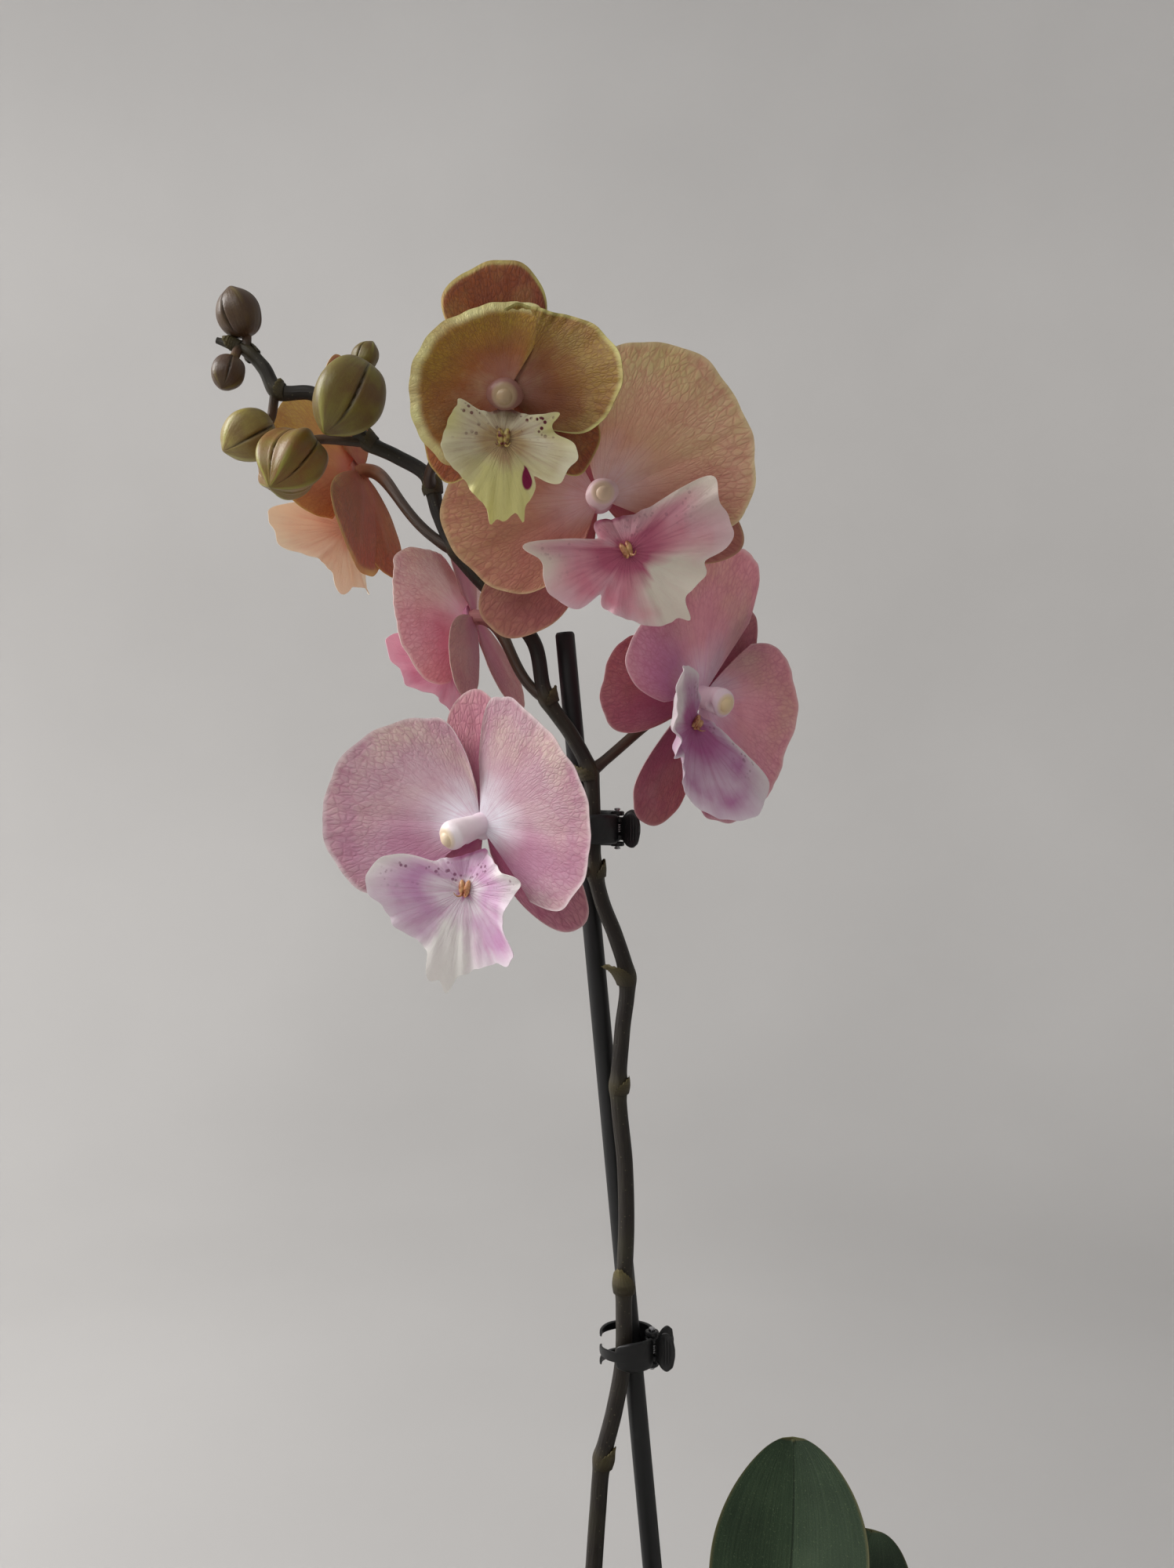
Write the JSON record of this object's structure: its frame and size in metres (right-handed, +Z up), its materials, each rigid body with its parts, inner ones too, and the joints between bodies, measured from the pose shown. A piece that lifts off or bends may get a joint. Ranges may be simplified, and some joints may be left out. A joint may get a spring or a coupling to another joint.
{
  "type": "potted orchid",
  "caption": "Potted moth orchid: an arching flower spike with open blooms and buds, clipped to a stake, above strap leaves in a plain pot of bark.",
  "frame": {"origin": "centre of the pot's flat base, where it stands", "axes": "+Z up the stake and spike, +X to the plant's right and -Y towards the side that the flowers face"},
  "size_m": [0.2743, 0.3307, 0.6916],
  "materials": {
    "pot": "plain pale satin glaze",
    "bark": "rough, matt, chipped",
    "crown": "matt, fibrous",
    "leaf": "thick, waxy, dark green with a soft sheen",
    "root": "matt, silvery green skin",
    "stem": "smooth, waxy, dark green-brown",
    "bud": "waxy olive with ridges",
    "petal_pink": "thin, velvety, finely veined lilac pink",
    "petal_mauve": "thin, velvety, finely veined mauve pink",
    "petal_peach": "thin, velvety, peach pink with a yellow-olive edge",
    "petal_rose": "thin, velvety, yellow-orange and rose",
    "petal_ochre": "thin, waxy, ochre and olive brown with a pale edge",
    "calyx_pink": "thin, velvety, magenta pink",
    "calyx_mauve": "thin, velvety, deep rose",
    "calyx_peach": "thin, velvety, dusky rose",
    "calyx_rose": "thin, velvety, brownish rose",
    "calyx_ochre": "thin, waxy, orange brown with a pale yellow edge",
    "lip": "thin, velvety, lilac to cream with darker spots",
    "column": "smooth, waxy cream",
    "stake": "matt black",
    "clip": "moulded black with a soft sheen",
    "steel": "plain bright wire"
  },
  "bodies": {
    "plant_and_pot": {"pot": "pot", "bark_mix": "bark", "crown": "crown", "leaf_1": "leaf", "leaf_2": "leaf", "leaf_3": "leaf", "leaf_4": "leaf", "leaf_5": "leaf", "leaf_6": "leaf", "root_1": "root", "root_2": "root", "root_3": "root", "root_4": "root", "flower_spike": "stem", "bud_1": "bud", "bud_2": "bud", "bud_3": "bud", "bud_4": "bud", "bud_5": "bud", "bud_6": "bud", "flower_1_calyx": "calyx_pink", "flower_1_petal_left": "petal_pink", "flower_1_petal_right": "petal_pink", "flower_1_lip": "lip", "flower_1_column": "column", "flower_2_calyx": "calyx_mauve", "flower_2_petal_left": "petal_mauve", "flower_2_petal_right": "petal_mauve", "flower_2_lip": "lip", "flower_2_column": "column", "flower_3_calyx": "calyx_pink", "flower_3_petal_left": "petal_pink", "flower_3_petal_right": "petal_pink", "flower_3_lip": "lip", "flower_3_column": "column", "flower_4_calyx": "calyx_peach", "flower_4_petal_left": "petal_peach", "flower_4_petal_right": "petal_peach", "flower_4_lip": "lip", "flower_4_column": "column", "flower_5_calyx": "calyx_rose", "flower_5_petal_left": "petal_rose", "flower_5_petal_right": "petal_rose", "flower_5_lip": "lip", "flower_5_column": "column", "flower_6_calyx": "calyx_ochre", "flower_6_petal_left": "petal_ochre", "flower_6_petal_right": "petal_ochre", "flower_6_lip": "lip", "flower_6_column": "column", "stake": "stake", "clip_1_fixed_jaw": "clip", "clip_1_hinge_pin": "steel", "clip_1_spring": "steel", "clip_2_fixed_jaw": "clip", "clip_2_hinge_pin": "steel", "clip_2_spring": "steel"},
    "clip_1_jaw": {"clip_1_moving_jaw": "clip"},
    "clip_2_jaw": {"clip_2_moving_jaw": "clip"}
  },
  "joints": [
    {"name": "clip_1_hinge", "type": "hinge", "parent": "plant_and_pot", "child": "clip_1_jaw", "pos_m": [-0.01191, 0.0026, 0.499], "axis": [0, 0, 1], "range_deg": [0, 28], "stiffness_Nm_per_rad": 0.02, "springref_deg": -11.46},
    {"name": "clip_2_hinge", "type": "hinge", "parent": "plant_and_pot", "child": "clip_2_jaw", "pos_m": [0.00049, 0.0026, 0.3125], "axis": [0, 0, 1], "range_deg": [0, 28], "stiffness_Nm_per_rad": 0.02, "springref_deg": -11.46}
  ]
}
